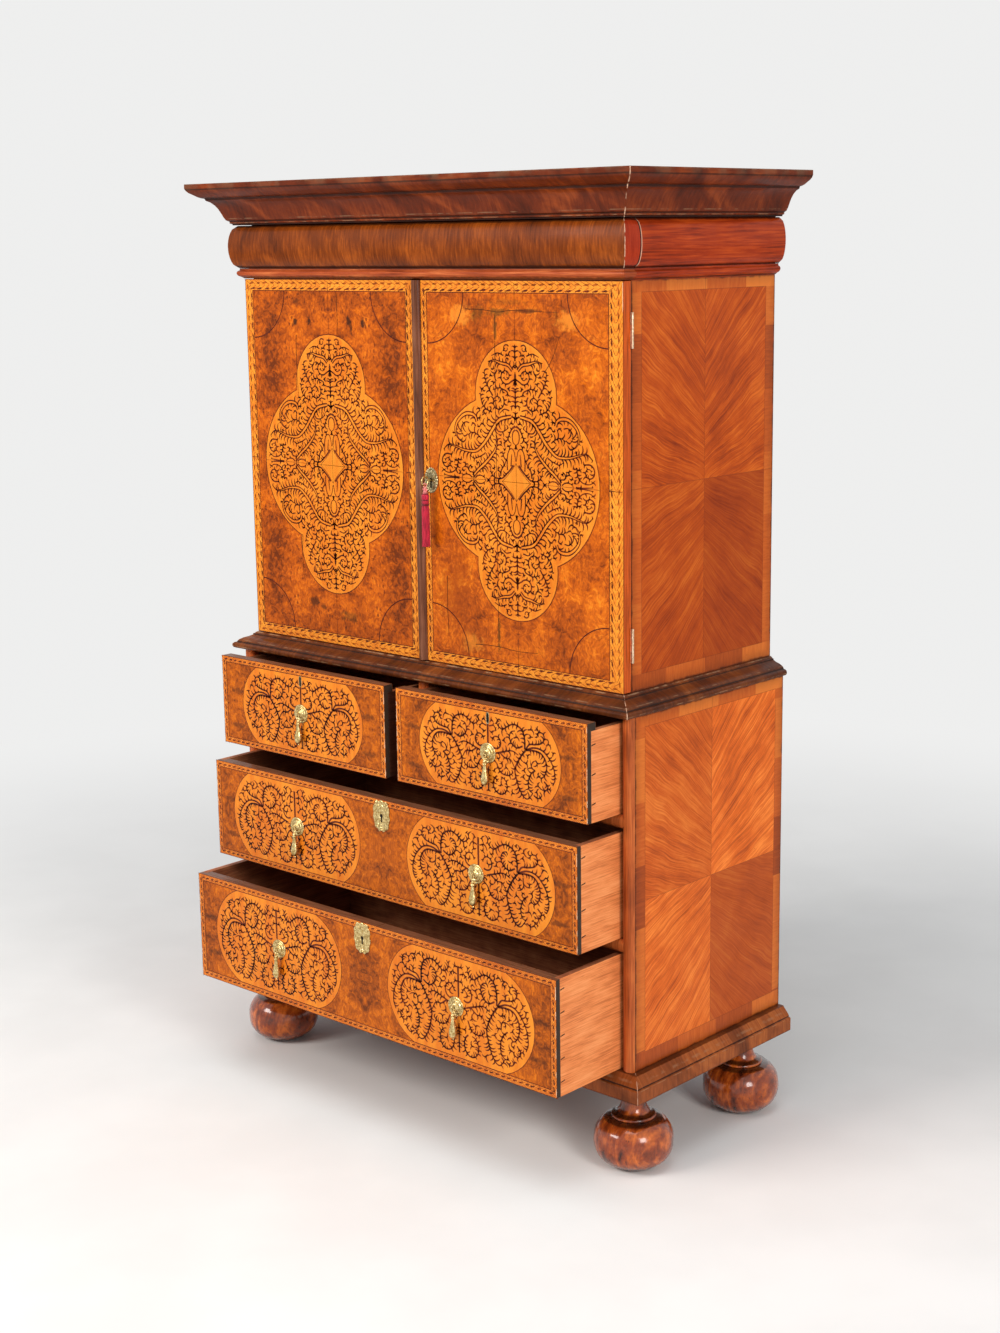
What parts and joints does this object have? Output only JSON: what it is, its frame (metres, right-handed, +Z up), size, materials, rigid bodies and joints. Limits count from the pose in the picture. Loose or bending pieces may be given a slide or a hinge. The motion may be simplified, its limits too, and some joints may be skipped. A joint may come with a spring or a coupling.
{
  "type": "cabinet on stand",
  "caption": "Tall two-part cupboard: veneered doors with marquetry over a chest of drawers, cushion frieze drawer, bold cornice, pear drop handles and bun feet.",
  "frame": {"origin": "on the floor, under the middle of the bounding box with the drawers standing open as in the picture", "axes": "+Z up, +Y to the back, +X to the right of someone who faces the doors"},
  "size_m": [1.0758, 0.6158, 1.7067],
  "materials": {
    "burr_veneer": "burr walnut veneer with marquetry",
    "side_veneer": "quartered walnut veneer, waxed",
    "moulding_walnut": "cross-grained walnut mouldings, dark",
    "cushion_walnut": "cross-grained walnut, polished",
    "turned_walnut": "turned wood, stained and polished",
    "lining_oak": "plain oak lining",
    "back_pine": "plain boards",
    "cast_brass": "worn cast brass",
    "lock_steel": "dull forged steel",
    "silk": "crimson silk cord and tassel"
  },
  "bodies": {
    "carcass": {"chest_side_left": "side_veneer", "chest_side_right": "side_veneer", "chest_bottom": "lining_oak", "chest_back": "back_pine", "waist_moulding": "moulding_walnut", "dustboard_upper": "lining_oak", "dustboard_lower": "lining_oak", "bead_frame": "moulding_walnut", "base_moulding": "moulding_walnut", "bun_foot_front_left": "turned_walnut", "bun_foot_front_right": "turned_walnut", "bun_foot_back_left": "turned_walnut", "bun_foot_back_right": "turned_walnut", "cabinet_side_left": "side_veneer", "cabinet_side_right": "side_veneer", "cabinet_bottom": "lining_oak", "cabinet_back": "back_pine", "frieze_board": "moulding_walnut", "cornice": "moulding_walnut", "shelf": "lining_oak", "hinge_fixed_lower_left": "cast_brass", "hinge_fixed_upper_left": "cast_brass", "hinge_fixed_lower_right": "cast_brass", "hinge_fixed_upper_right": "cast_brass"},
    "door_left": {"door_left": "burr_veneer", "hinge_door_lower_left": "cast_brass", "hinge_door_upper_left": "cast_brass"},
    "door_right": {"door_right": "burr_veneer", "hinge_door_lower_right": "cast_brass", "hinge_door_upper_right": "cast_brass", "meeting_bead": "moulding_walnut", "lock_case": "lock_steel", "door_escutcheon": "cast_brass"},
    "lock_bolt": {"lock_bolt": "lock_steel"},
    "key": {"key": "cast_brass"},
    "tassel": {"tassel": "silk"},
    "drawer_short_left": {"drawer_front_short_left": "burr_veneer", "drawer_box_short_left": "lining_oak", "rose_short_left": "cast_brass"},
    "pear_drop_short_left": {"pear_drop_short_left": "cast_brass"},
    "drawer_short_right": {"drawer_front_short_right": "burr_veneer", "drawer_box_short_right": "lining_oak", "rose_short_right": "cast_brass"},
    "pear_drop_short_right": {"pear_drop_short_right": "cast_brass"},
    "drawer_lower_long": {"drawer_front_lower_long": "burr_veneer", "drawer_box_lower_long": "lining_oak", "escutcheon_lower_long": "cast_brass", "rose_lower_long_left": "cast_brass", "rose_lower_long_right": "cast_brass"},
    "pear_drop_lower_long_left": {"pear_drop_lower_long_left": "cast_brass"},
    "pear_drop_lower_long_right": {"pear_drop_lower_long_right": "cast_brass"},
    "drawer_upper_long": {"drawer_front_upper_long": "burr_veneer", "drawer_box_upper_long": "lining_oak", "escutcheon_upper_long": "cast_brass", "rose_upper_long_left": "cast_brass", "rose_upper_long_right": "cast_brass"},
    "pear_drop_upper_long_left": {"pear_drop_upper_long_left": "cast_brass"},
    "pear_drop_upper_long_right": {"pear_drop_upper_long_right": "cast_brass"},
    "drawer_frieze": {"drawer_front_frieze": "cushion_walnut", "drawer_box_frieze": "lining_oak"}
  },
  "joints": [
    {"name": "door_left_hinge", "type": "hinge", "parent": "carcass", "child": "door_left", "pos_m": [-0.4638, -0.093, 1.19], "axis": [0, 0, -1], "range_deg": [0, 170]},
    {"name": "door_right_hinge", "type": "hinge", "parent": "carcass", "child": "door_right", "pos_m": [0.4638, -0.093, 1.19], "axis": [0, 0, 1], "range_deg": [0, 170]},
    {"name": "key_turn", "type": "hinge", "parent": "door_right", "child": "key", "pos_m": [0.022, -0.12985, 1.18011], "axis": [0, -1, 0], "range_deg": [0, 90]},
    {"name": "bolt_throw", "type": "slide", "parent": "door_right", "child": "lock_bolt", "axis": [-1, 0, 0], "range_m": [0, 0.014]},
    {"name": "tassel_swing", "type": "hinge", "parent": "key", "child": "tassel", "pos_m": [0.022, -0.12985, 1.17211], "axis": [0, -1, 0], "range_deg": [-90, 0]},
    {"name": "drawer_short_left_slide", "type": "slide", "parent": "carcass", "child": "drawer_short_left", "axis": [0, -1, 0], "range_m": [-0.0891, 0.2309]},
    {"name": "drawer_short_right_slide", "type": "slide", "parent": "carcass", "child": "drawer_short_right", "axis": [0, -1, 0], "range_m": [-0.0867, 0.2333]},
    {"name": "drawer_upper_long_slide", "type": "slide", "parent": "carcass", "child": "drawer_upper_long", "axis": [0, -1, 0], "range_m": [-0.1144, 0.2056]},
    {"name": "drawer_lower_long_slide", "type": "slide", "parent": "carcass", "child": "drawer_lower_long", "axis": [0, -1, 0], "range_m": [-0.1706, 0.1494]},
    {"name": "drawer_frieze_slide", "type": "slide", "parent": "carcass", "child": "drawer_frieze", "axis": [0, -1, 0], "range_m": [0, 0.3]},
    {"name": "pear_drop_short_left_swing", "type": "hinge", "parent": "drawer_short_left", "child": "pear_drop_short_left", "pos_m": [-0.237, -0.21875, 0.73305], "axis": [-1, 0, 0], "range_deg": [0, 100]},
    {"name": "pear_drop_short_right_swing", "type": "hinge", "parent": "drawer_short_right", "child": "pear_drop_short_right", "pos_m": [0.237, -0.21635, 0.73305], "axis": [-1, 0, 0], "range_deg": [0, 100]},
    {"name": "pear_drop_upper_long_left_swing", "type": "hinge", "parent": "drawer_upper_long", "child": "pear_drop_upper_long_left", "pos_m": [-0.23003, -0.24405, 0.5209], "axis": [-1, 0, 0], "range_deg": [0, 100]},
    {"name": "pear_drop_upper_long_right_swing", "type": "hinge", "parent": "drawer_upper_long", "child": "pear_drop_upper_long_right", "pos_m": [0.23003, -0.24405, 0.5209], "axis": [-1, 0, 0], "range_deg": [0, 100]},
    {"name": "pear_drop_lower_long_left_swing", "type": "hinge", "parent": "drawer_lower_long", "child": "pear_drop_lower_long_left", "pos_m": [-0.23003, -0.30025, 0.29435], "axis": [-1, 0, 0], "range_deg": [0, 100]},
    {"name": "pear_drop_lower_long_right_swing", "type": "hinge", "parent": "drawer_lower_long", "child": "pear_drop_lower_long_right", "pos_m": [0.23003, -0.30025, 0.29435], "axis": [-1, 0, 0], "range_deg": [0, 100]}
  ],
  "couplings": [
    {"joint": "bolt_throw", "follows": "key_turn", "m_per_rad": 0.0089},
    {"joint": "tassel_swing", "follows": "key_turn", "ratio": -1}
  ]
}
